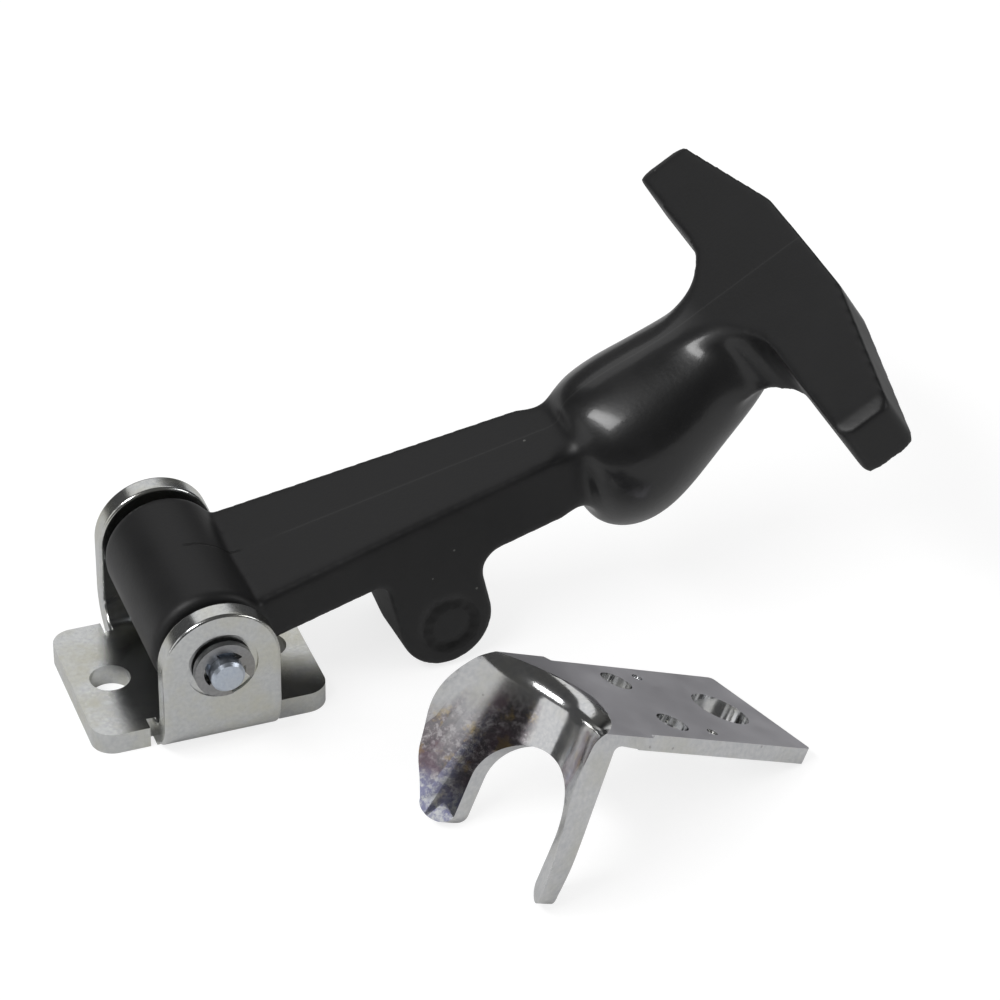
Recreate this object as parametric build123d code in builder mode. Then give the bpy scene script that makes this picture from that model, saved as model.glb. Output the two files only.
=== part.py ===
from build123d import *
import os
from math import atan2, cos, radians, sin, sqrt, tan

# Rubber T-handle draw latch with its keeper, in millimetres.
# Origin: centre of the bracket's base, on its underside. +X runs from the bracket towards the T-handle,
# +Y across the hinge pin, +Z up. The handle stands on its lug, as it does on a bench.

# ---- driving dimensions: bracket, one folded sheet --------------------------------------------
bracket_sheet = 3.2
bracket_width = 35.0          # over the outer faces of the two ears
base_length = 34.0
base_width = 25.6
base_corner_radius = 3.2
ear_width = 16.8
bend_inside_radius = 3.6
relief_width = 0.9            # slit beside each ear, where the fold starts
pin_height = 15.0             # pin axis above the underside of the base
mount_hole_diameter = 5.8
mount_hole_spacing = 22.9
ear_recess_diameter = 10.2    # shallow pressed ring around the pin
ear_recess_depth = 0.3
sheet_edge_round = 0.5

# ---- driving dimensions: hinge pin and its retaining clip ---------------------------------------
pin_diameter = 4.8
pin_stick_out = 3.0           # past the near ear
pin_end_chamfer = 0.4
pin_head_diameter = 8.0
pin_head_thickness = 1.6
pin_fit = 0.05                # radial clearance, pin in the ears and in the rubber
groove_diameter = 3.8
clip_thickness = 1.0
clip_stand_off = 0.15         # from the ear's face to the clip
clip_play = 0.04              # each side of the clip in its groove
clip_grip = 0.02              # radial, from the groove's floor to the clip's teeth
clip_outer_diameter = 8.5
clip_inner_diameter = 6.0
clip_tooth_width = 1.5
clip_mouth_width = 3.3
clip_mouth_angle = -52.0      # where the clip's mouth points, from +X

# ---- driving dimensions: rubber handle, one moulding -------------------------------------------
strap_angle = 13.0            # rise of the strap above the base
draft_angle = 3.0             # mould parts on the mid-plane, so the faces fall away from it
barrel_radius = 8.4
barrel_gap = 1.6              # from each end of the barrel to its ear
barrel_edge_round = 1.3
strap_top = 3.7               # top face above the pin's axis, at the parting line
strap_thin_bottom = 4.8       # underside below the axis, barrel to lug
strap_deep_bottom = 7.4       # underside below the axis, lug to bulb
strap_length = 58.0           # pin axis to the bulb's shoulder
strap_root_width = 24.8       # at the pin's axis
strap_end_width = 13.9        # at the bulb's shoulder
strap_overlap = 5.0           # how far the strap runs on inside the bulb
strap_edge_round = 0.7
lug_reach = 33.0              # pin axis to the lug's centre
lug_radius = 7.4              # at the parting line
lug_front_blend = 3.0
lug_back_blend = 1.5
dial_radius = 4.35            # round recess in the lug's side
dial_rise = 0.2               # recess's centre above the lug's
dial_depth = 0.6
dial_disc_radius = 3.0
dial_disc_drop = 0.25         # face of the inner disc below the lug's side
bulb_sections = [             # past the shoulder, centre above the pin's axis, radius
    (0.0, -2.8, 8.6),
    (1.7, -3.3, 10.4),
    (5.0, -3.4, 11.8),
    (9.5, -2.7, 12.2),
    (14.5, -1.0, 11.5),
    (19.5, 1.4, 10.4),
    (24.5, 4.0, 9.4),
    (29.5, 7.0, 8.1),
    (34.5, 11.0, 5.3),
]
t_edge_reach = 97.8           # pin axis to the middle of the T's outer edge, along the strap
t_edge_height = 18.8          # the same point above the pin's axis, square to the strap
t_tilt = 19.0                 # rise of the T's top face above the strap
t_width = 73.2
t_depth = 12.8                # outer edge to inner edge of each arm
t_thickness = 9.2
t_bend_reach = 12.2           # middle to where the outer edge sweeps back
t_sweep = 5.0                 # how far the outer edge sweeps back at the tips
t_corner_radius = 1.7
t_tip_bevel_width = 2.2       # the top face falls off at each tip
t_tip_bevel_drop = 0.8
web_top_half_width = 15.9     # where the neck's web meets the arm, at the top face
web_top_bend = (-15.6, 7.4)
web_top_end = (-20.5, 4.3)
web_top_tail = (-25.4, 1.4)
web_bottom_half_width = 18.4  # the same, at the underside
web_bottom_bend = (-15.0, 13.8)
web_bottom_end = (-19.3, 12.2)
web_bottom_tail = (-25.4, 9.8)

# ---- driving dimensions: keeper, one pressed sheet ---------------------------------------------
keeper_sheet = 2.4
keeper_length = 39.6          # plate's free end to the hollow of the fork
keeper_width = 20.6
keeper_corner_radius = 0.8
keeper_hole_diameter = 4.75
keeper_hole_spacing = 11.6
keeper_hole_reach = 25.5      # plate's free end to the two screw holes
keeper_pilot_diameter = 1.6
keeper_pilot_spacing = 15.5
keeper_pilot_reach = 19.1
keeper_large_hole_diameter = 8.7
keeper_large_hole_reach = 9.1
dish_radius = 13.4            # hollow of the fork that the bulb seats in, at the plate
dish_opening = 12.5           # half-angle by which the hollow widens towards the prong tips
fold_inside_radius = 1.0
fold_flat = 7.8               # flat of the plate that widens ahead of the fold
fork_drop = 23.0              # plate's underside to the prong tips
fork_half_width = 14.3
fork_top_half_width = 11.3
fork_shoulder_drop = 9.4      # plate's underside to the fork's full width
fork_straight_drop = 15.0     # plate's underside to where the prongs start to narrow
slot_half_width = 8.6
slot_top_drop = 6.6           # plate's underside to the top of the slot
prong_tip_radius = 2.1
keeper_turn = 19.0            # plate's length against the strap, seen from above
keeper_place_x = 71.1         # middle of the plate's free end, where it lies beside the latch
keeper_place_y = -36.8

same_place = 1e-3             # two lengths nearer than this are taken as equal

# ---- worked out from the above -------------------------------------------------------------------
ear_inner = bracket_width / 2 - bracket_sheet
barrel_length = 2 * (ear_inner - barrel_gap)
bend_outside_radius = bend_inside_radius + bracket_sheet
fold_start = bracket_width / 2 - bend_outside_radius
pin_axis = Vector(0, 0, pin_height)
strap_direction = Vector(cos(radians(strap_angle)), 0, sin(radians(strap_angle)))
strap_normal = Vector(-sin(radians(strap_angle)), 0, cos(radians(strap_angle)))
# the lug's centre hangs so low that its tip touches the plane the bracket stands on
lug_drop = (pin_height + lug_reach * sin(radians(strap_angle)) - lug_radius) / cos(radians(strap_angle))
side_plane = Plane(pin_axis, x_dir=strap_direction, z_dir=(0, -1, 0))
plan_plane = Plane(pin_axis, x_dir=strap_direction, z_dir=strap_normal)
cross_plane = Plane(pin_axis, x_dir=(0, 1, 0), z_dir=strap_direction)
# the recess lies in the lug's near side, which follows the strap's taper
strap_taper = atan2((strap_root_width - strap_end_width) / 2, strap_length)
side_at_lug = strap_root_width / 2 - lug_reach * tan(strap_taper)
dial_height = strap_normal * (lug_drop - dial_rise)
dial_centre = pin_axis + strap_direction * lug_reach - dial_height - Vector(0, side_at_lug, 0)
dial_normal = Vector(0, -cos(strap_taper), 0) + strap_direction * sin(strap_taper)
dial_plane = Plane(dial_centre, x_dir=strap_normal, z_dir=dial_normal)

# ---- bracket: base, two folds and two ears from one sheet -----------------------------------------
with BuildPart() as bracket:
    with BuildSketch(Plane.YZ) as channel_outside:
        with Locations((0, (pin_height + ear_width) / 2)):
            Rectangle(bracket_width, pin_height + ear_width)
        fillet(channel_outside.vertices().group_by(Axis.Y)[0], bend_outside_radius)
    extrude(amount=ear_width / 2, both=True)
    with BuildSketch(Plane.YZ) as channel_inside:
        with Locations((0, bracket_sheet + (pin_height + ear_width) / 2)):
            Rectangle(2 * ear_inner, pin_height + ear_width)
        fillet(channel_inside.vertices().group_by(Axis.Y)[0], bend_inside_radius)
    extrude(amount=ear_width / 2, both=True, mode=Mode.SUBTRACT)
    with BuildSketch(Plane.XZ) as ear_outline:
        with Locations((0, pin_height / 2)):
            Rectangle(ear_width, pin_height)
        with Locations((0, pin_height)):
            Circle(ear_width / 2)
    extrude(amount=bracket_width / 2, both=True, mode=Mode.INTERSECT)
    with BuildSketch(Plane.XY) as base_outline:
        RectangleRounded(base_length, base_width, base_corner_radius)
        with Locations(
            *[
                (side * (ear_width + relief_width) / 2, end * (fold_start + base_width / 2) / 2)
                for side in (-1, 1)
                for end in (-1, 1)
            ]
        ):
            Rectangle(relief_width, base_width / 2 - fold_start, mode=Mode.SUBTRACT)
    extrude(amount=bracket_sheet)
    with Locations((-mount_hole_spacing / 2, 0, bracket_sheet), (mount_hole_spacing / 2, 0, bracket_sheet)):
        Hole(mount_hole_diameter / 2)
    with BuildSketch(Plane.XZ) as pin_holes:
        with Locations((0, pin_height)):
            Circle(pin_diameter / 2 + pin_fit)
    extrude(amount=bracket_width / 2, both=True, mode=Mode.SUBTRACT)
    for ear_side in (-1, 1):
        with BuildSketch(Plane((0, ear_side * bracket_width / 2, pin_height), z_dir=(0, ear_side, 0))):
            Circle(ear_recess_diameter / 2)
        extrude(amount=-ear_recess_depth, mode=Mode.SUBTRACT)
    ear_rims = (
        bracket.edges()
        .filter_by(GeomType.CIRCLE)
        .filter_by(lambda edge: abs(edge.radius - ear_width / 2) < same_place)
    )
    fillet(ear_rims, sheet_edge_round)
bracket.part.label = "bracket"

# ---- hinge pin: headed at the far ear, grooved for the clip at the near one -----------------------
near_face = -bracket_width / 2
clip_near_face = near_face - clip_stand_off - clip_thickness
with BuildPart() as hinge_pin:
    with BuildSketch(Plane.YZ) as pin_profile:
        with BuildLine():
            Polyline(
                (near_face - pin_stick_out, pin_height),
                (near_face - pin_stick_out, pin_height + pin_diameter / 2 - pin_end_chamfer),
                (near_face - pin_stick_out + pin_end_chamfer, pin_height + pin_diameter / 2),
                (clip_near_face - clip_play, pin_height + pin_diameter / 2),
                (clip_near_face - clip_play, pin_height + groove_diameter / 2),
                (near_face - clip_stand_off + clip_play, pin_height + groove_diameter / 2),
                (near_face - clip_stand_off + clip_play, pin_height + pin_diameter / 2),
                (bracket_width / 2 - ear_recess_depth, pin_height + pin_diameter / 2),
                (bracket_width / 2 - ear_recess_depth, pin_height + pin_head_diameter / 2),
                (bracket_width / 2 - ear_recess_depth + pin_head_thickness, pin_height + pin_head_diameter / 2),
                (bracket_width / 2 - ear_recess_depth + pin_head_thickness, pin_height),
                close=True,
            )
        make_face()
    revolve(axis=Axis(pin_axis, (0, 1, 0)))
    fillet(hinge_pin.edges().group_by(Axis.Y)[-1], pin_head_thickness / 3)
hinge_pin.part.label = "hinge_pin"

# ---- retaining clip: an E-shaped ring with three teeth in the pin's groove ------------------------
clip_plane = Plane((0, near_face - clip_stand_off, pin_height), x_dir=(1, 0, 0), z_dir=(0, -1, 0))
clip_tooth_root = clip_inner_diameter / 2 + (clip_outer_diameter - clip_inner_diameter) / 4
with BuildPart() as retaining_clip:
    with BuildSketch(clip_plane) as clip_outline:
        Circle(clip_outer_diameter / 2)
        Circle(clip_inner_diameter / 2, mode=Mode.SUBTRACT)
        with Locations(Rot(0, 0, clip_mouth_angle)):
            with Locations(((clip_outer_diameter + clip_inner_diameter) / 4, 0)):
                Rectangle(clip_outer_diameter, clip_mouth_width, mode=Mode.SUBTRACT)
        for tooth_turn in (180, 72, -72):
            with Locations(Rot(0, 0, clip_mouth_angle + tooth_turn)):
                with Locations((clip_tooth_root / 2, 0)):
                    Rectangle(clip_tooth_root, clip_tooth_width)
        Circle(groove_diameter / 2 + clip_grip, mode=Mode.SUBTRACT)
    extrude(amount=clip_thickness)
retaining_clip.part.label = "retaining_clip"

# ---- T-bar of the handle, a part of the moulding kept apart until its edges are rounded -----------
t_origin = pin_axis + strap_direction * t_edge_reach + strap_normal * t_edge_height
t_rise = radians(strap_angle + t_tilt)
t_plan_plane = Plane(t_origin, x_dir=(cos(t_rise), 0, sin(t_rise)), z_dir=(-sin(t_rise), 0, cos(t_rise)))
t_front_plane = Plane(t_origin, x_dir=(0, 1, 0), z_dir=(cos(t_rise), 0, sin(t_rise)))
t_half = t_width / 2
t_droop = t_half * sin(radians(draft_angle))
t_bevel_start = t_half - t_tip_bevel_width
with BuildPart() as t_bar:
    with BuildSketch(t_plan_plane) as arms:
        with BuildLine():
            Polyline(
                (-t_depth, 0),
                (0, 0),
                (0, t_bend_reach),
                (-t_sweep, t_half),
                (-t_depth, t_half),
                close=True,
            )
        make_face()
        mirror(about=Plane.XZ)
        fillet(arms.vertices().filter_by(lambda v: abs(abs(v.Y) - t_half) < same_place), t_corner_radius)
    extrude(amount=2 * t_thickness, both=True)
    web_levels = (
        (0, web_top_half_width, web_top_bend, web_top_end, web_top_tail),
        (-t_thickness - t_droop, web_bottom_half_width, web_bottom_bend, web_bottom_end, web_bottom_tail),
    )
    for level, half_width, bend, end, tail in web_levels:
        with BuildSketch(t_plan_plane.offset(level)):
            with BuildLine():
                Polyline((-t_depth, half_width), (-t_depth / 2, half_width), (-t_depth / 2, -half_width))
                Line((-t_depth / 2, -half_width), (-t_depth, -half_width))
                ThreePointArc((-t_depth, -half_width), (bend[0], -bend[1]), (end[0], -end[1]))
                Polyline((end[0], -end[1]), (tail[0], -tail[1]), tail, end)
                ThreePointArc(end, bend, (-t_depth, half_width))
            make_face()
    loft(ruled=True)
    with BuildSketch(t_front_plane) as t_front:
        with BuildLine():
            Polyline(
                (0, 0),
                (t_bevel_start, -t_droop * t_bevel_start / t_half),
                (t_half, -t_droop - t_tip_bevel_drop),
                (t_half, -t_droop - t_thickness),
                (0, -t_thickness),
                close=True,
            )
        make_face()
        mirror(about=Plane.YZ)
    extrude(amount=3 * t_depth, both=True, mode=Mode.INTERSECT)

# ---- rubber handle: barrel, strap, lug, bulb, neck and T in one moulding --------------------------
with BuildPart() as rubber_handle:
    with BuildSketch(side_plane) as strap_side:
        with BuildLine():
            Polyline(
                (0, strap_top),
                (strap_length + strap_overlap, strap_top),
                (strap_length + strap_overlap, -strap_deep_bottom),
                (lug_reach + lug_radius, -strap_deep_bottom),
                (lug_reach + lug_radius, -lug_drop),
            )
            RadiusArc((lug_reach + lug_radius, -lug_drop), (lug_reach, -lug_drop - lug_radius), lug_radius)
            RadiusArc((lug_reach, -lug_drop - lug_radius), (lug_reach - lug_radius, -lug_drop), lug_radius)
            Polyline(
                (lug_reach - lug_radius, -lug_drop),
                (lug_reach - lug_radius, -strap_thin_bottom),
                (0, -strap_thin_bottom),
                (0, strap_top),
            )
        make_face()
        fillet(
            strap_side.vertices().sort_by_distance((lug_reach + lug_radius, -strap_deep_bottom))[0],
            lug_front_blend,
        )
        fillet(
            strap_side.vertices().sort_by_distance((lug_reach - lug_radius, -strap_thin_bottom))[0],
            lug_back_blend,
        )
    extrude(amount=strap_root_width / 2, both=True, taper=draft_angle)
    with BuildSketch(plan_plane) as strap_plan:
        with BuildLine():
            Polyline(
                (0, -strap_root_width / 2),
                (strap_length, -strap_end_width / 2),
                (strap_length + strap_overlap, -strap_end_width / 2),
                (strap_length + strap_overlap, strap_end_width / 2),
                (strap_length, strap_end_width / 2),
                (0, strap_root_width / 2),
                close=True,
            )
        make_face()
    extrude(amount=2 * lug_drop, both=True, mode=Mode.INTERSECT)
    drafted_sides = rubber_handle.faces().filter_by(lambda face: abs(face.normal_at().Y) > cos(radians(20)))
    fillet(drafted_sides.edges(), strap_edge_round)
    for reach, rise, radius in bulb_sections:
        with BuildSketch(cross_plane.offset(strap_length + reach)):
            with Locations((0, rise)):
                Circle(radius)
    loft()
    with BuildSketch(side_plane) as barrel_side:
        Circle(barrel_radius)
    extrude(amount=barrel_length / 2, both=True)
    barrel_rims = (
        rubber_handle.edges()
        .filter_by(GeomType.CIRCLE)
        .filter_by(lambda edge: abs(edge.radius - barrel_radius) < same_place)
    )
    fillet(barrel_rims, barrel_edge_round)
    add(t_bar.part)
    with BuildSketch(side_plane) as pin_bore:
        Circle(pin_diameter / 2 + pin_fit)
    extrude(amount=bracket_width / 2, both=True, mode=Mode.SUBTRACT)
    with BuildSketch(dial_plane.offset(-dial_depth)):
        Circle(dial_radius)
    extrude(amount=strap_root_width, mode=Mode.SUBTRACT)
    with BuildSketch(dial_plane.offset(-dial_depth - strap_edge_round)):
        Circle(dial_disc_radius)
    extrude(amount=dial_depth + strap_edge_round - dial_disc_drop)
rubber_handle.part.label = "rubber_handle"

# ---- keeper: plate and down-turned fork from one sheet ---------------------------------------------
# it stands on the free end of its plate and on the backs of its two prong tips
fork_axis_reach = keeper_length + dish_radius
tip_offset = slot_half_width + prong_tip_radius
tip_back_radius = dish_radius + keeper_sheet + fork_drop * tan(radians(dish_opening))
tip_set_forward = tip_back_radius - sqrt(tip_back_radius**2 - tip_offset**2)
tip_reach = keeper_length - keeper_sheet + tip_set_forward
keeper_tilt = atan2(fork_drop, tip_reach)
turn = radians(keeper_turn)
keeper_length_direction = Vector(-cos(turn) * cos(keeper_tilt), -sin(turn) * cos(keeper_tilt), sin(keeper_tilt))
keeper_normal = Vector(cos(turn) * sin(keeper_tilt), sin(turn) * sin(keeper_tilt), cos(keeper_tilt))
keeper_plane = Plane((keeper_place_x, keeper_place_y, 0), x_dir=keeper_length_direction, z_dir=keeper_normal)
fork_axis_point = keeper_plane.from_local_coords((fork_axis_reach, 0, 0))
fork_profile_plane = Plane(fork_axis_point, x_dir=-keeper_length_direction, z_dir=keeper_plane.y_dir)
dish_lean = keeper_length_direction * sin(radians(dish_opening))
dish_axis = keeper_normal * cos(radians(dish_opening)) - dish_lean
wall_drop = fork_drop + fold_flat
fork_front_plane = Plane(fork_axis_point, x_dir=keeper_plane.y_dir, z_dir=keeper_length_direction)
with BuildPart() as keeper:
    with BuildSketch(fork_profile_plane) as fold_profile:
        with BuildLine():
            Polyline(
                (dish_radius, -wall_drop),
                (dish_radius, keeper_sheet),
                (dish_radius + fold_flat, keeper_sheet),
                (dish_radius + fold_flat, 0),
                (dish_radius + keeper_sheet, 0),
                (dish_radius + keeper_sheet, -wall_drop),
                close=True,
            )
        make_face()
        fillet(
            fold_profile.vertices().sort_by_distance((dish_radius, keeper_sheet))[0],
            fold_inside_radius + keeper_sheet,
        )
        fillet(
            fold_profile.vertices().sort_by_distance((dish_radius + keeper_sheet, 0))[0],
            fold_inside_radius,
        )
    revolve(axis=Axis(fork_axis_point, dish_axis), revolution_arc=360)
    with BuildSketch(fork_front_plane) as fork_front:
        with BuildLine():
            Polyline((0, keeper_sheet), (fork_top_half_width, keeper_sheet))
            TangentArc(
                (fork_half_width, -fork_shoulder_drop),
                (fork_top_half_width, keeper_sheet),
                tangent=(0, 1),
            )
            Polyline(
                (fork_half_width, -fork_shoulder_drop),
                (fork_half_width, -fork_straight_drop),
                (tip_offset + prong_tip_radius, prong_tip_radius - fork_drop),
            )
            RadiusArc(
                (tip_offset + prong_tip_radius, prong_tip_radius - fork_drop),
                (tip_offset - prong_tip_radius, prong_tip_radius - fork_drop),
                prong_tip_radius,
            )
            Line((slot_half_width, prong_tip_radius - fork_drop), (slot_half_width, -slot_top_drop - slot_half_width))
            JernArc((slot_half_width, -slot_top_drop - slot_half_width), (0, 1), slot_half_width, 90)
            Line((0, -slot_top_drop), (0, keeper_sheet))
        make_face()
        mirror(about=Plane.YZ)
        fillet(
            fork_front.vertices().filter_by(lambda v: abs(v.Y + fork_straight_drop) < same_place),
            fork_half_width,
        )
    extrude(amount=-2 * dish_radius, mode=Mode.INTERSECT)
    with BuildSketch(keeper_plane) as plate:
        with Locations(((keeper_length - fold_flat / 2) / 2, 0)):
            Rectangle(keeper_length - fold_flat / 2, keeper_width)
        fillet(plate.vertices().group_by(Axis.X)[0], keeper_corner_radius)
    extrude(amount=keeper_sheet)
    with BuildSketch(keeper_plane) as plate_holes:
        with Locations(
            (keeper_hole_reach, keeper_hole_spacing / 2),
            (keeper_hole_reach, -keeper_hole_spacing / 2),
        ):
            Circle(keeper_hole_diameter / 2)
        with Locations(
            (keeper_pilot_reach, keeper_pilot_spacing / 2),
            (keeper_pilot_reach, -keeper_pilot_spacing / 2),
        ):
            Circle(keeper_pilot_diameter / 2)
        with Locations((keeper_large_hole_reach, 0)):
            Circle(keeper_large_hole_diameter / 2)
    extrude(amount=keeper_sheet, mode=Mode.SUBTRACT)
keeper.part.label = "keeper"
keeper_resting = keeper.part.moved(Pos(0, 0, -keeper.part.bounding_box().min.Z))

os.makedirs("parts", exist_ok=True)
export_step(bracket.part, "parts/bracket.step")
export_step(hinge_pin.part, "parts/hinge_pin.step")
export_step(retaining_clip.part, "parts/retaining_clip.step")
export_step(rubber_handle.part, "parts/rubber_handle.step")
export_step(keeper_resting, "parts/keeper.step")
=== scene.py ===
import math

import bmesh
import bpy
from mathutils import Matrix, Vector
from mathutils.kdtree import KDTree


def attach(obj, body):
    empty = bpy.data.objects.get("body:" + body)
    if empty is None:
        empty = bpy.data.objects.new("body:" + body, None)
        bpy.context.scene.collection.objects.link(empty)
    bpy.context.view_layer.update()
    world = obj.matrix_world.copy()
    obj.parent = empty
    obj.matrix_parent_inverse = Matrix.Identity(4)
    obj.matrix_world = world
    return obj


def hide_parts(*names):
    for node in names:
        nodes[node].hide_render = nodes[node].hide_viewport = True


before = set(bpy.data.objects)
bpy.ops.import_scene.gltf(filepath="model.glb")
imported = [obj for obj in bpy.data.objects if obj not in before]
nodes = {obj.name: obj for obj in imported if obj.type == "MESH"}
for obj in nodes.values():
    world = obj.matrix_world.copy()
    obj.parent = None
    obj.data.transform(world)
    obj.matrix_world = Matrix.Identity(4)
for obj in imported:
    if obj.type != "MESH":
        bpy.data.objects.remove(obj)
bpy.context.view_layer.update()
MM = 0.001

# ---- edges and hollows, as pressing and moulding leave them ------------------------------------------
bracket_edge_round = 0.35 * MM
keeper_edge_round = 0.5 * MM
sheet_crease = math.radians(32)      # folds sharper than this get a rounded edge
sheet_flatten = math.radians(0.05)   # triangles flatter than this to each other become one face
handle_edge_round = 0.8 * MM
handle_crease = math.radians(30)
handle_flatten = math.radians(0.2)
handle_skin = 0.42 * MM              # mesh size of the moulded skin
handle_rounds = 12                   # smoothing of the whole skin
hollow_start = 50.0 * MM             # the hollows round the bulb and neck lie beyond this
hollow_crease = math.radians(14)
hollow_full, hollow_end = 2.0 * MM, 5.0 * MM   # reach of the blend from a hollow's crease
hollow_rounds = 90
pin_height = 15.0 * MM
bore_radius = 2.55 * MM              # clear of the pin, radius 2.4

# ---- where the keeper lies ----------------------------------------------------------------------------
keeper_turn, keeper_tilt = math.radians(19.0), math.radians(29.808)
keeper_plate_end = Vector((71.1 * MM, -36.8 * MM, 0.0))
keeper_length = 39.6 * MM

# ---- places on the rubber moulding that change its finish or colour, some as painted shade and highlight ---
crack_start, crack_end = (-0.5 * MM, 0.5 * MM), (8.8 * MM, 7.4 * MM)
crack_half_width, crack_wander, crack_depth = 0.16 * MM, 1.1 * MM, -4.0
witness_start = (12.0 * MM, 16.0 * MM)
witness_half_width, witness_wander, witness_painted_highlight = 0.12 * MM, 0.15 * MM, 0.3
recess_along, recess_up = 36.25 * MM, 6.9 * MM
recess_rim, recess_disc = (4.5 * MM, 4.2 * MM), (2.7 * MM, 3.1 * MM)
recess_side = (0.0, -4.0 * MM)       # only the lug's near side has it
recess_notches, notch_depth, recess_darkening = 12.0, 2.0, 0.85
polish_start = (55.0 * MM, 58.0 * MM)
head_slope = -0.625                  # the T-bar's top climbs by this much
head_top, head_start = (-3.6 * MM, -2.9 * MM), (73.0 * MM, 77.0 * MM)
arm_start = (11.0 * MM, 15.0 * MM)


# ---- small helpers for selecting and for node trees ----------------------------------------------
def only(thing):
    bpy.ops.object.select_all(action="DESELECT")
    thing.select_set(True)
    bpy.context.view_layer.objects.active = thing


def add_modifier(thing, name, kind, **settings):
    only(thing)
    modifier = thing.modifiers.new(name, kind)
    for key, value in settings.items():
        setattr(modifier, key, value)
    bpy.ops.object.modifier_apply(modifier=modifier.name)


def new_group(name, inputs, outputs):
    group = bpy.data.node_groups.new(name, "ShaderNodeTree")
    for label, kind, value in inputs:
        socket = group.interface.new_socket(label, in_out="INPUT", socket_type=kind)
        if value is not None:
            socket.default_value = value
    for label, kind in outputs:
        group.interface.new_socket(label, in_out="OUTPUT", socket_type=kind)
    return group, group.nodes.new("NodeGroupInput"), group.nodes.new("NodeGroupOutput")


def node(tree, kind, links=None, **settings):
    made = tree.nodes.new(kind)
    for key, value in settings.items():
        setattr(made, key, value)
    for socket, source in (links or {}).items():
        target = made.inputs[socket]
        if isinstance(source, bpy.types.NodeSocket):
            tree.links.new(source, target)
        else:
            target.default_value = source
    return made


def ramp(tree, source, *stops):
    made = node(tree, "ShaderNodeValToRGB", {"Fac": source})
    while len(made.color_ramp.elements) > len(stops):
        made.color_ramp.elements.remove(made.color_ramp.elements[-1])
    while len(made.color_ramp.elements) < len(stops):
        made.color_ramp.elements.new(1.0)
    for element, (place, value) in zip(made.color_ramp.elements, stops):
        element.position = place
        element.color = value if len(value) == 4 else (*value, 1.0)
    return made.outputs["Color"]


def mix_color(tree, factor, first, second):
    made = node(tree, "ShaderNodeMix", data_type="RGBA")
    for index, source in ((0, factor), (6, first), (7, second)):
        if isinstance(source, bpy.types.NodeSocket):
            tree.links.new(source, made.inputs[index])
        else:
            made.inputs[index].default_value = source if index == 0 else (*source, 1.0)
    return made.outputs[2]


def math_node(tree, operation, first, second=0.0):
    return node(tree, "ShaderNodeMath", {0: first, 1: second}, operation=operation).outputs[0]


def noise(tree, place, scale, detail=3.0, roughness=0.5):
    return node(
        tree,
        "ShaderNodeTexNoise",
        {"Vector": place, "Scale": scale, "Detail": detail, "Roughness": roughness},
    ).outputs["Fac"]


def times(tree, first, second):
    return math_node(tree, "MULTIPLY", first, second)


def rise_between(tree, value, low, high):
    return node(
        tree,
        "ShaderNodeMapRange",
        {"Value": value, "From Min": low, "From Max": high},
        interpolation_type="SMOOTHSTEP",
    ).outputs[0]


def grey(level):
    return (level, level, level)


def cells_of(tree, place, scale):
    made = node(
        tree,
        "ShaderNodeTexVoronoi",
        {"Vector": place, "Scale": scale, "Randomness": 1.0},
        feature="F1",
    )
    split = node(tree, "ShaderNodeSeparateColor", {"Color": made.outputs["Color"]})
    return made.outputs["Distance"], split


# ---- shared effects: moulded grain, dust specks and plated mottle -----------------------------------
def moulded_grain_group():
    group, source, result = new_group(
        "moulded_grain",
        [("Place", "NodeSocketVector", None), ("Scale", "NodeSocketFloat", 2500.0)],
        [("Grain", "NodeSocketFloat"), ("Cloud", "NodeSocketFloat")],
    )
    fine = noise(group, source.outputs["Place"], source.outputs["Scale"], 2.0)
    broad = noise(group, source.outputs["Place"], 90.0, 4.0, 0.6)
    group.links.new(fine, result.inputs["Grain"])
    group.links.new(broad, result.inputs["Cloud"])
    return group


def dust_group():
    group, source, result = new_group(
        "dust_specks",
        [
            ("Place", "NodeSocketVector", None),
            ("Scale", "NodeSocketFloat", 400.0),
            ("Size", "NodeSocketFloat", 0.1),
        ],
        [("Speck", "NodeSocketFloat")],
    )
    distance, split = cells_of(group, source.outputs["Place"], source.outputs["Scale"])
    near = math_node(group, "LESS_THAN", distance, source.outputs["Size"])
    rare = math_node(group, "GREATER_THAN", split.outputs["Red"], 0.9)
    group.links.new(times(group, near, rare), result.inputs["Speck"])
    return group


def plating_group():
    group, source, result = new_group(
        "plating",
        [("Place", "NodeSocketVector", None), ("Scale", "NodeSocketFloat", 900.0)],
        [("Pebble", "NodeSocketFloat"), ("Cloud", "NodeSocketFloat"), ("Pit", "NodeSocketFloat")],
    )
    pebble = noise(group, source.outputs["Place"], source.outputs["Scale"], 3.0, 0.6)
    cloud = noise(group, source.outputs["Place"], 130.0, 4.0, 0.6)
    distance, split = cells_of(group, source.outputs["Place"], 520.0)
    small = math_node(group, "LESS_THAN", distance, 0.11)
    rare = math_node(group, "GREATER_THAN", split.outputs["Blue"], 0.8)
    group.links.new(pebble, result.inputs["Pebble"])
    group.links.new(cloud, result.inputs["Cloud"])
    group.links.new(times(group, small, rare), result.inputs["Pit"])
    return group


moulded_grain = moulded_grain_group()
dust_specks = dust_group()
plating = plating_group()


def new_material(name):
    material = bpy.data.materials.new(name)
    material.use_nodes = True
    tree = material.node_tree
    tree.nodes.clear()
    surface = tree.nodes.new("ShaderNodeBsdfPrincipled")
    output = tree.nodes.new("ShaderNodeOutputMaterial")
    tree.links.new(surface.outputs["BSDF"], output.inputs["Surface"])
    place = tree.nodes.new("ShaderNodeTexCoord").outputs["Object"]
    return material, tree, surface, place


def use_group(tree, group, place, **values):
    made = tree.nodes.new("ShaderNodeGroup")
    made.node_tree = group
    tree.links.new(place, made.inputs["Place"])
    for key, value in values.items():
        made.inputs[key].default_value = value
    return made


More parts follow.
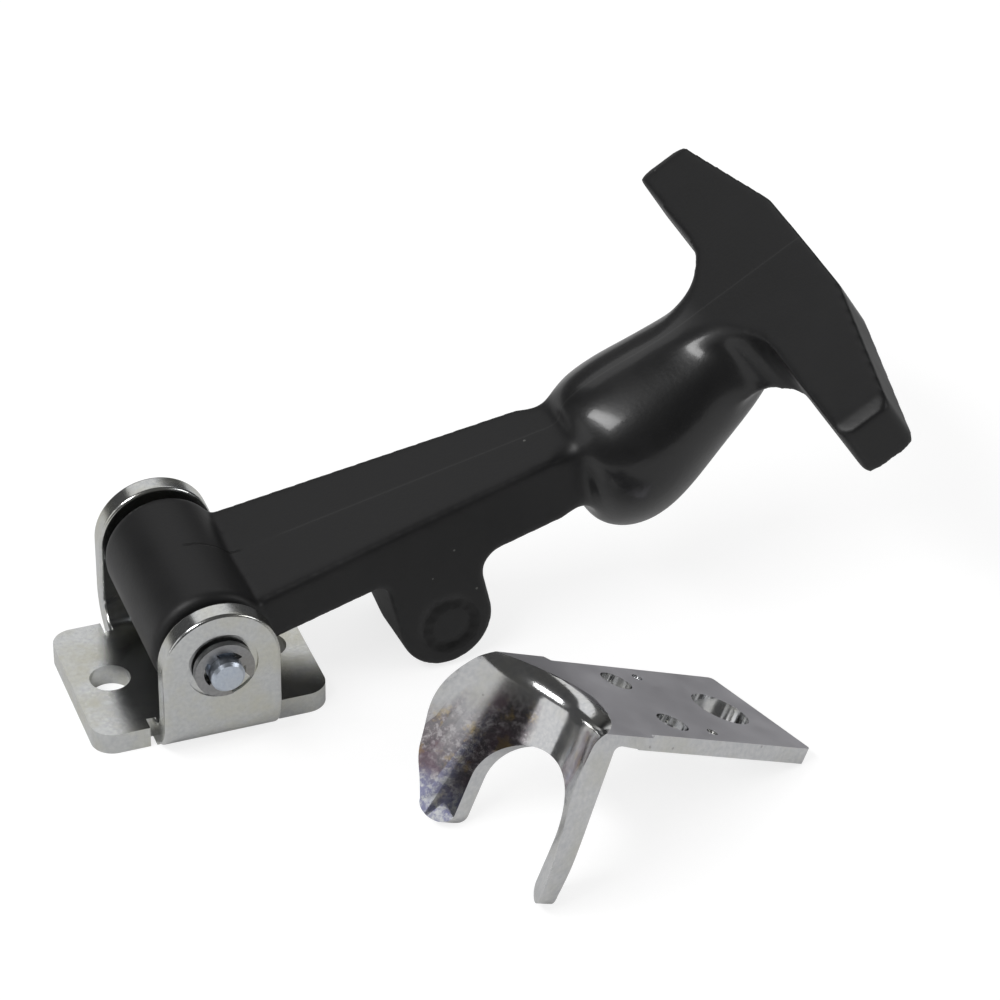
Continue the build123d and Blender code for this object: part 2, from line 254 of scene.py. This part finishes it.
def bump(tree, surface, height, strength, distance):
    made = node(tree, "ShaderNodeBump", {"Height": height, "Strength": strength, "Distance": distance})
    tree.links.new(made.outputs["Normal"], surface.inputs["Normal"])


def moulded_lines(tree, place, along, across, body):
    """The mould's halves met here: an open flash line by the barrel, with painted shade nearly black in its
    gap, and a fine witness line further on, painted lighter as a painted highlight on its raised ridge.
    """
    wobble = math_node(tree, "SUBTRACT", noise(tree, place, 500.0, 3.0), 0.5)

    def line(wander, half_width):
        off = math_node(tree, "ABSOLUTE", math_node(tree, "ADD", across, times(tree, wobble, wander)))
        return rise_between(tree, off, half_width * 1.8, half_width * 0.6)

    by_barrel = times(tree, rise_between(tree, along, *crack_start), rise_between(tree, along, *crack_end))
    crack = times(tree, line(crack_wander, crack_half_width), by_barrel)
    # painted shade: the flash line's gap is painted nearly black
    crack_painted_shade = mix_color(tree, crack, body, grey(0.0012))
    witness = line(witness_wander, witness_half_width)
    shown = times(tree, witness, rise_between(tree, along, *witness_start))
    # painted highlight: the witness line is painted lighter, as if its raised ridge caught the light
    lined = mix_color(tree, times(tree, shown, witness_painted_highlight), crack_painted_shade, grey(0.04))
    return lined, crack


def date_recess(tree, along, across, up):
    """Masks of the recess in the lug's near side: its darkened ring, and the ring's plain notches."""
    out = math_node(tree, "SUBTRACT", along, recess_along)
    lift = math_node(tree, "SUBTRACT", up, recess_up)
    squares = math_node(tree, "ADD", times(tree, out, out), times(tree, lift, lift))
    reach = math_node(tree, "SQRT", squares)
    inside = times(tree, rise_between(tree, reach, *recess_rim), rise_between(tree, across, *recess_side))
    ring = times(tree, rise_between(tree, reach, *recess_disc), inside)
    angle = math_node(tree, "ARCTAN2", lift, out)
    notches = math_node(tree, "SINE", times(tree, angle, recess_notches))
    return ring, times(tree, notches, ring)


def polished_part(tree, along, across, up):
    """The bulb and neck come from a polished part of the mould, the strap and the T from a blasted one."""
    start = rise_between(tree, along, *polish_start)
    plane = math_node(tree, "ADD", up, times(tree, along, head_slope))
    on_top = times(tree, rise_between(tree, plane, *head_top), rise_between(tree, along, *head_start))
    on_arms = rise_between(tree, math_node(tree, "ABSOLUTE", across), *arm_start)
    matt_part = math_node(tree, "MAXIMUM", on_top, on_arms)
    return times(tree, start, math_node(tree, "SUBTRACT", 1.0, matt_part))


def black_rubber():
    material, tree, surface, place = new_material("black_rubber")
    grain = use_group(tree, moulded_grain, place, Scale=1800.0)
    dust = use_group(tree, dust_specks, place, Scale=300.0, Size=0.06)
    split = node(tree, "ShaderNodeSeparateXYZ", {"Vector": place})
    along, across, up = split.outputs["X"], split.outputs["Y"], split.outputs["Z"]
    cloud = grain.outputs["Cloud"]
    body = ramp(tree, cloud, (0.3, (0.0075, 0.0075, 0.008)), (0.7, (0.0115, 0.0115, 0.012)))
    dusted = mix_color(tree, dust.outputs["Speck"], body, (0.10, 0.10, 0.095))
    lined, crack = moulded_lines(tree, place, along, across, dusted)
    ring, notches = date_recess(tree, along, across, up)
    colour = mix_color(tree, times(tree, ring, recess_darkening), lined, grey(0.001))
    tree.links.new(colour, surface.inputs["Base Color"])
    polished = polished_part(tree, along, across, up)
    matt = ramp(tree, cloud, (0.3, grey(0.42)), (0.7, grey(0.50)))
    bright = ramp(tree, cloud, (0.3, grey(0.28)), (0.7, grey(0.40)))
    tree.links.new(mix_color(tree, polished, matt, bright), surface.inputs["Roughness"])
    tree.links.new(times(tree, polished, 0.5), surface.inputs["Coat Weight"])
    surface.inputs["Coat Roughness"].default_value = 0.13
    surface.inputs["Specular IOR Level"].default_value = 0.44
    marks = math_node(tree, "ADD", grain.outputs["Grain"], times(tree, crack, crack_depth))
    height = math_node(tree, "ADD", marks, times(tree, notches, notch_depth))
    bump(tree, surface, height, 0.3, 0.05 * MM)
    return material


def plated_steel(name, light, dark, tint, rough, pebble_scale):
    material, tree, surface, place = new_material(name)
    plate = use_group(tree, plating, place, Scale=pebble_scale)
    cloud = plate.outputs["Cloud"]
    body = ramp(tree, plate.outputs["Pebble"], (0.3, dark), (0.7, light))
    passivated = ramp(tree, cloud, (0.45, grey(0.0)), (0.7, grey(0.7)))
    tinted = mix_color(tree, passivated, body, tint)
    pitted = mix_color(tree, times(tree, plate.outputs["Pit"], 0.35), tinted, (0.16, 0.15, 0.14))
    tree.links.new(pitted, surface.inputs["Base Color"])
    surface.inputs["Metallic"].default_value = 1.0
    roughness = ramp(tree, cloud, (0.3, grey(rough - 0.05)), (0.7, grey(rough + 0.07)))
    tree.links.new(roughness, surface.inputs["Roughness"])
    bump(tree, surface, plate.outputs["Pebble"], 0.2, 0.02 * MM)
    return material, tree, surface, place


def keeper_steel():
    """Bright plate, with the far prong's hollow and tip given a painted dark reflection and heat tint, and
    the plate's top a painted shade, read from its vertex colour.
    """
    material, tree, surface, place = plated_steel(
        "keeper_steel", grey(0.80), (0.66, 0.67, 0.69), (0.70, 0.69, 0.62), 0.13, 1500.0
    )
    plain = surface.inputs["Base Color"].links[0].from_socket
    smooth = surface.inputs["Roughness"].links[0].from_socket
    tint_and_painted_light = node(tree, "ShaderNodeAttribute", attribute_name="tint_and_painted_light", attribute_type="GEOMETRY")
    split = node(tree, "ShaderNodeSeparateColor", {"Color": tint_and_painted_light.outputs["Color"]})
    reflection_and_tint_mask, at_tip, on_plate = (split.outputs[name] for name in ("Red", "Green", "Blue"))
    fine = noise(tree, place, 1100.0, 4.0, 0.7)
    broad = noise(tree, place, 190.0, 3.0, 0.6)
    spots = noise(tree, place, 330.0, 4.0, 0.65)
    # the dark mottle is a painted dark reflection in the fork's hollow; the gold and violet over it are
    # heat tint
    painted_dark_reflection = ramp(
        tree, fine, (0.38, (0.07, 0.055, 0.075)), (0.5, (0.24, 0.20, 0.22)), (0.62, (0.62, 0.58, 0.60))
    )
    gold = ramp(tree, spots, (0.55, grey(0.0)), (0.66, grey(0.85)))
    golden = mix_color(tree, gold, painted_dark_reflection, (0.62, 0.45, 0.16))
    violet = ramp(tree, broad, (0.52, grey(0.0)), (0.62, grey(0.6)))
    reflection_and_heat_tint = mix_color(tree, violet, golden, (0.16, 0.07, 0.12))
    speckle = ramp(tree, fine, (0.42, grey(0.0)), (0.6, grey(1.0)))
    tip = mix_color(tree, speckle, (0.34, 0.35, 0.60), (0.95, 0.97, 1.0))
    mottled = mix_color(tree, at_tip, reflection_and_heat_tint, tip)
    broken = ramp(tree, fine, (0.3, grey(0.75)), (0.62, grey(1.0)))
    cover = times(tree, reflection_and_tint_mask, broken)
    # painted shade: the plate's top gets a darker lilac base colour; the satin roughness added below is
    # real
    plate_painted_shade = mix_color(tree, on_plate, plain, (0.55, 0.54, 0.58))
    tree.links.new(mix_color(tree, cover, plate_painted_shade, mottled), surface.inputs["Base Color"])
    satin = times(tree, on_plate, 0.2)
    tree.links.new(math_node(tree, "ADD", smooth, satin), surface.inputs["Roughness"])
    return material


def steel_only(name, light, dark, tint, rough, pebble_scale):
    return plated_steel(name, light, dark, tint, rough, pebble_scale)[0]


finishes = {
    "black_rubber": black_rubber(),
    "plated_steel": steel_only(
        "plated_steel", (0.74, 0.75, 0.74), (0.62, 0.63, 0.64), (0.70, 0.68, 0.55), 0.2, 1600.0
    ),
    "pin_steel": steel_only(
        "pin_steel", (0.68, 0.74, 0.82), (0.56, 0.62, 0.72), (0.66, 0.68, 0.70), 0.36, 2000.0
    ),
    "clip_steel": steel_only(
        "clip_steel", grey(0.40), (0.30, 0.30, 0.31), (0.34, 0.32, 0.28), 0.34, 2200.0
    ),
    "keeper_steel": keeper_steel(),
}


def dress(piece, finish):
    piece.data.materials.clear()
    piece.data.materials.append(finishes[finish])


dress(nodes["hinge_pin"], "pin_steel")
dress(nodes["retaining_clip"], "clip_steel")


# ---- finished copies of the solids -----------------------------------------------------------------------
def merged_copy(source_name, piece_name, flatten):
    piece = nodes[source_name].copy()
    piece.data = nodes[source_name].data.copy()
    piece.name = piece_name
    piece.parent = None
    for key in list(piece.keys()):
        del piece[key]
    bpy.context.scene.collection.objects.link(piece)
    mesh = bmesh.new()
    mesh.from_mesh(piece.data)
    bmesh.ops.remove_doubles(mesh, verts=mesh.verts, dist=0.001 * MM)
    bmesh.ops.dissolve_limit(mesh, angle_limit=flatten, verts=mesh.verts, edges=mesh.edges)
    mesh.to_mesh(piece.data)
    mesh.free()
    return piece


def round_edges(piece, width, segments, crease):
    add_modifier(
        piece,
        "edges",
        "BEVEL",
        width=width,
        segments=segments,
        limit_method="ANGLE",
        angle_limit=crease,
        use_clamp_overlap=True,
    )


def stands_for(piece, source_name, finish, body):
    dress(piece, finish)
    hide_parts(source_name)
    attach(piece, body)


def smooth_step(value, low, high):
    part = min(1.0, max(0.0, (value - low) / (high - low)))
    return part * part * (3.0 - 2.0 * part)


# ---- pressed steel: the sheet's edges rounded by the blanking and plating ---------------------------
def pressed_sheet(source_name, piece_name, edge_round, finish, body):
    piece = merged_copy(source_name, piece_name, sheet_flatten)
    round_edges(piece, edge_round, 3, sheet_crease)
    only(piece)
    bpy.ops.object.shade_smooth_by_angle(angle=math.radians(50))
    add_modifier(piece, "flats", "WEIGHTED_NORMAL", mode="FACE_AREA", weight=100, keep_sharp=True)
    stands_for(piece, source_name, finish, body)
    return piece


bracket = pressed_sheet("bracket", "pressed_bracket", bracket_edge_round, "plated_steel", "base")
keeper = pressed_sheet("keeper", "pressed_keeper", keeper_edge_round, "keeper_steel", "base")


# ---- painted dark reflection and heat tint in the hollow of the keeper's fork, painted shade on its plate ---
def paint_the_fork_tint_and_light(piece):
    """Red: part of the far prong's hollow with a painted dark reflection and heat tint. Green: its tip.
    Blue: the plate's top, with a painted shade.
    """
    turn_cos, turn_sin = math.cos(keeper_turn), math.sin(keeper_turn)
    tilt_cos, tilt_sin = math.cos(keeper_tilt), math.sin(keeper_tilt)
    along = Vector((-turn_cos * tilt_cos, -turn_sin * tilt_cos, tilt_sin))
    normal = Vector((turn_cos * tilt_sin, turn_sin * tilt_sin, tilt_cos))
    across = normal.cross(along)
    fold = keeper_plate_end + along * keeper_length
    layer = piece.data.color_attributes.new("tint_and_painted_light", "FLOAT_COLOR", "CORNER")
    for face in piece.data.polygons:
        hollow = smooth_step(face.normal.dot(along), 0.35, 0.55)
        plate = smooth_step(face.normal.dot(normal), 0.9, 0.98)
        for corner in face.loop_indices:
            place = piece.data.vertices[piece.data.loops[corner].vertex_index].co - fold
            side = place.dot(across) / MM
            drop = -place.dot(normal) / MM
            low_part = smooth_step(drop, 6.5, 8.5)
            inner_part = smooth_step(side, -10.4, -8.8) * smooth_step(drop, 0.6, 2.0)
            far_prong = max(low_part, inner_part) * smooth_step(-side, 3.0, 5.0)
            tip = smooth_step(drop, 15.5, 19.0)
            # red marks where the painted dark reflection and heat tint go, blue where the plate's painted
            # shade goes
            layer.data[corner].color = (hollow * far_prong, tip, plate, 1.0)


paint_the_fork_tint_and_light(keeper)


# ---- rubber handle: the moulding with its edges and hollows run soft --------------------------------
def hollow_creases(piece):
    mesh = bmesh.new()
    mesh.from_mesh(piece.data)
    tree = KDTree(len(mesh.edges) + 1)
    for edge in mesh.edges:
        middle = (edge.verts[0].co + edge.verts[1].co) / 2
        beyond = middle.x > hollow_start and edge.is_manifold
        if beyond and edge.calc_face_angle_signed() < -hollow_crease:
            tree.insert(middle, edge.index)
    mesh.free()
    tree.balance()
    return tree


def soft_moulding(source_name, piece_name):
    piece = merged_copy(source_name, piece_name, handle_flatten)
    creases = hollow_creases(piece)
    round_edges(piece, handle_edge_round, 2, handle_crease)
    add_modifier(piece, "skin", "REMESH", mode="VOXEL", voxel_size=handle_skin, use_smooth_shade=True)
    add_modifier(piece, "soften", "SMOOTH", factor=0.5, iterations=handle_rounds)
    hollows = piece.vertex_groups.new(name="hollows")
    for vertex in piece.data.vertices:
        distance = creases.find(vertex.co)[2]
        weight = 1.0 - smooth_step(distance, hollow_full, hollow_end)
        if weight > 0.0:
            hollows.add([vertex.index], weight, "REPLACE")
    add_modifier(
        piece, "blend", "SMOOTH", factor=0.5, iterations=hollow_rounds, vertex_group="hollows"
    )
    return piece


# the bore stays round and clear of the pin, which the softening would draw it on to
def ream_bore(piece):
    for vertex in piece.data.vertices:
        out = Vector((vertex.co.x, 0.0, vertex.co.z - pin_height))
        if out.length < bore_radius:
            out = out.normalized() * bore_radius
            vertex.co.x, vertex.co.z = out.x, out.z + pin_height


handle = soft_moulding("rubber_handle", "moulded_handle")
ream_bore(handle)
stands_for(handle, "rubber_handle", "black_rubber", "handle")


# ---- floor, lamps and camera ---------------------------------------------------------------------------
def new_tree(holder):
    holder.use_nodes = True
    holder.node_tree.nodes.clear()
    return holder.node_tree


def pale_floor():
    """Plain white to the camera, with the object's shadow kept; dimmer in the metal's reflections."""
    bpy.ops.object.select_all(action="DESELECT")
    bpy.ops.mesh.primitive_plane_add(size=6.0, location=(0, 0, 0))
    floor = bpy.context.object
    floor.name = "floor"
    material = bpy.data.materials.new("floor_white")
    tree = new_tree(material)
    path = tree.nodes.new("ShaderNodeLightPath")
    seen = math_node(tree, "MAXIMUM", path.outputs["Is Camera Ray"], path.outputs["Is Transmission Ray"])
    matt = node(tree, "ShaderNodeBsdfDiffuse", {"Color": mix_color(tree, seen, grey(0.52), grey(0.3))})
    lift = node(tree, "ShaderNodeEmission", {"Color": (1, 1, 1, 1), "Strength": 1.0})
    to_camera = times(tree, seen, 0.78)
    to_metal = times(tree, path.outputs["Is Glossy Ray"], 0.1)
    tree.links.new(math_node(tree, "ADD", to_camera, to_metal), lift.inputs["Strength"])
    both = tree.nodes.new("ShaderNodeAddShader")
    output = tree.nodes.new("ShaderNodeOutputMaterial")
    tree.links.new(matt.outputs[0], both.inputs[0])
    tree.links.new(lift.outputs[0], both.inputs[1])
    tree.links.new(both.outputs[0], output.inputs["Surface"])
    floor.data.materials.append(material)


def white_room():
    """A white background to the camera, a soft grey room to the object, a dark one to its reflections."""
    world = bpy.data.worlds.new("studio")
    bpy.context.scene.world = world
    tree = new_tree(world)
    path = tree.nodes.new("ShaderNodeLightPath")
    room = node(tree, "ShaderNodeBackground", {"Color": (1, 1, 1, 1)})
    mirrored = times(tree, path.outputs["Is Glossy Ray"], -0.38)
    tree.links.new(math_node(tree, "ADD", mirrored, 0.45), room.inputs["Strength"])
    shown = node(tree, "ShaderNodeBackground", {"Color": (1, 1, 1, 1), "Strength": 1.0})
    mixed = tree.nodes.new("ShaderNodeMixShader")
    output = tree.nodes.new("ShaderNodeOutputWorld")
    tree.links.new(path.outputs["Is Camera Ray"], mixed.inputs[0])
    tree.links.new(room.outputs[0], mixed.inputs[1])
    tree.links.new(shown.outputs[0], mixed.inputs[2])
    tree.links.new(mixed.outputs[0], output.inputs["Surface"])


def softbox(name, place, aim, size, power):
    lamp = bpy.data.lights.new(name, "AREA")
    lamp.shape = "RECTANGLE"
    lamp.size, lamp.size_y = size
    lamp.energy = power
    holder = bpy.data.objects.new(name, lamp)
    holder.location = place
    holder.rotation_mode = "QUATERNION"
    holder.rotation_quaternion = (Vector(aim) - Vector(place)).to_track_quat("-Z", "Y")
    bpy.context.scene.collection.objects.link(holder)


def camera():
    azimuth, elevation, roll = (math.radians(value) for value in (-20.85, 34.92, 0.95))
    distance, shift_right, shift_up, lens = 0.56865, -0.044005, -0.025402, 144.63
    flat = math.cos(elevation)
    back = Vector((math.sin(azimuth) * flat, -math.cos(azimuth) * flat, math.sin(elevation)))
    right = Vector((math.cos(azimuth), math.sin(azimuth), 0.0))
    up = back.cross(right)
    turned_right = right * math.cos(roll) + up * math.sin(roll)
    turned_up = up * math.cos(roll) - right * math.sin(roll)
    place = back * distance - turned_right * shift_right - turned_up * shift_up
    data = bpy.data.cameras.new("camera")
    data.sensor_width = 36.0
    data.lens = lens
    data.clip_start, data.clip_end = 0.01, 20.0
    holder = bpy.data.objects.new("camera", data)
    bpy.context.scene.collection.objects.link(holder)
    turn = Matrix((turned_right, turned_up, back)).transposed().to_4x4()
    holder.matrix_world = Matrix.Translation(place) @ turn
    bpy.context.scene.camera = holder


middle = (0.03, 0.0, 0.02)
pale_floor()
white_room()
softbox("key_softbox", (-0.45, -0.17, 0.68), (0.04, -0.04, 0.025), (0.55, 0.18), 3.4)
softbox("back_panel", (0.15, 0.60, 0.58), middle, (0.9, 0.38), 0.8)
softbox("left_softbox", (-0.80, -0.03, 0.25), middle, (0.6, 0.46), 0.6)
softbox("right_softbox", (0.80, -0.45, 0.45), middle, (0.35, 0.4), 1.2)
camera()
bpy.context.scene.view_settings.view_transform = "Standard"
